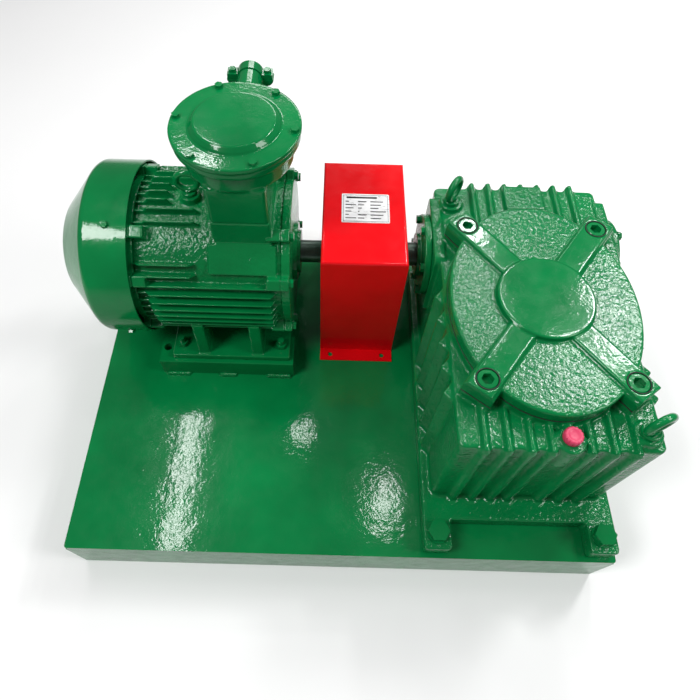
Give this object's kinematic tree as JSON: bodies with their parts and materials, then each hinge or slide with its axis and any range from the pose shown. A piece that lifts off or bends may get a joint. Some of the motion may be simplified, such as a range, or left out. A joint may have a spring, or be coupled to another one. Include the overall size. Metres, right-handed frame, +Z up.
{
  "type": "worm gearbox drive",
  "caption": "Skid-mounted worm gearbox with a downward output shaft, driven by a finned foot-mounted motor through a guarded jaw coupling.",
  "frame": {"origin": "centre of the base's underside", "axes": "+X from the motor to the gearbox along the drive axis, +Z up, output shaft pointing down"},
  "size_m": [1.1336, 0.81, 0.711],
  "materials": {
    "green_enamel": "gloss enamel over rough castings and sheet",
    "red_enamel": "gloss enamel on sheet",
    "nameplate_metal": "satin",
    "pink_plastic": "semi-matt moulding",
    "bare_steel": "turned and ground",
    "bare_iron": "machined casting",
    "core_steel": "stacked laminations",
    "copper_wire": "varnished wire",
    "fan_plastic": "moulded",
    "bronze": "cast and cut bronze",
    "moulded_board": "moulded",
    "elastomer": "matt polyurethane",
    "black_rubber": "matt"
  },
  "bodies": {
    "frame": {"base_crossmembers": "green_enamel", "base_plate": "green_enamel", "base_rails": "green_enamel", "bearing_balls": "bare_steel", "bearing_cap_bolts": "green_enamel", "bearing_outer_rings": "bare_steel", "blind_bearing_cap": "green_enamel", "cable_gland": "green_enamel", "cable_gland_bolts": "green_enamel", "cable_gland_clamp": "green_enamel", "coupling_guard": "red_enamel", "cover_bolts": "green_enamel", "cover_gasket": "black_rubber", "gearbox_cover": "green_enamel", "gearbox_eyebolts": "green_enamel", "gearbox_foot_bolts": "green_enamel", "gearbox_housing": "green_enamel", "guard_nameplate": "nameplate_metal", "input_bearing_cap": "green_enamel", "input_oil_seal": "black_rubber", "motor_bearing_cap": "green_enamel", "motor_cowl_screws": "green_enamel", "motor_drive_end_shield": "green_enamel", "motor_eyebolt": "green_enamel", "motor_fan_cowl": "green_enamel", "motor_foot_studs": "green_enamel", "motor_frame": "green_enamel", "motor_pads": "green_enamel", "motor_rear_end_shield": "green_enamel", "motor_shield_bolts": "green_enamel", "motor_stator_core": "core_steel", "motor_stator_windings": "copper_wire", "oil_drain_and_level_plugs": "green_enamel", "oil_filler_plug": "pink_plastic", "output_bearing_cap": "green_enamel", "output_oil_seal": "black_rubber", "terminal_board": "moulded_board", "terminal_box_body": "green_enamel", "terminal_box_lid": "green_enamel", "terminal_box_lid_bolts": "green_enamel", "terminal_studs": "bronze", "weld_beads": "green_enamel"},
    "motor_rotor": {"motor_shaft": "bare_steel", "motor_shaft_key": "bare_steel", "motor_rotor_core": "core_steel", "motor_cooling_fan": "fan_plastic", "motor_bearing_inner_rings": "bare_steel", "coupling_motor_half": "bare_iron", "coupling_spider": "elastomer"},
    "worm": {"worm_shaft": "bare_steel", "input_shaft_key": "bare_steel", "worm_bearing_inner_rings": "bare_steel", "coupling_gearbox_half": "bare_iron"},
    "wheel": {"output_shaft": "bare_steel", "worm_wheel_key": "bare_steel", "worm_wheel_rim": "bronze", "worm_wheel_centre": "bare_iron", "wheel_rim_screws": "bare_steel", "output_shaft_spacer": "bare_steel", "output_bearing_inner_rings": "bare_steel"}
  },
  "joints": [
    {"name": "motor_spin", "type": "hinge", "parent": "frame", "child": "motor_rotor", "pos_m": [-0.1, 0.189, 0.369], "axis": [1, 0, 0], "continuous": true},
    {"name": "worm_spin", "type": "hinge", "parent": "frame", "child": "worm", "pos_m": [0.355, 0.189, 0.369], "axis": [1, 0, 0], "continuous": true},
    {"name": "wheel_spin", "type": "hinge", "parent": "frame", "child": "wheel", "pos_m": [0.355, -0.011, 0.369], "axis": [0, 0, 1], "continuous": true}
  ],
  "couplings": [
    {"joint": "worm_spin", "follows": "motor_spin", "ratio": 1},
    {"joint": "wheel_spin", "follows": "motor_spin", "ratio": 0.04}
  ]
}
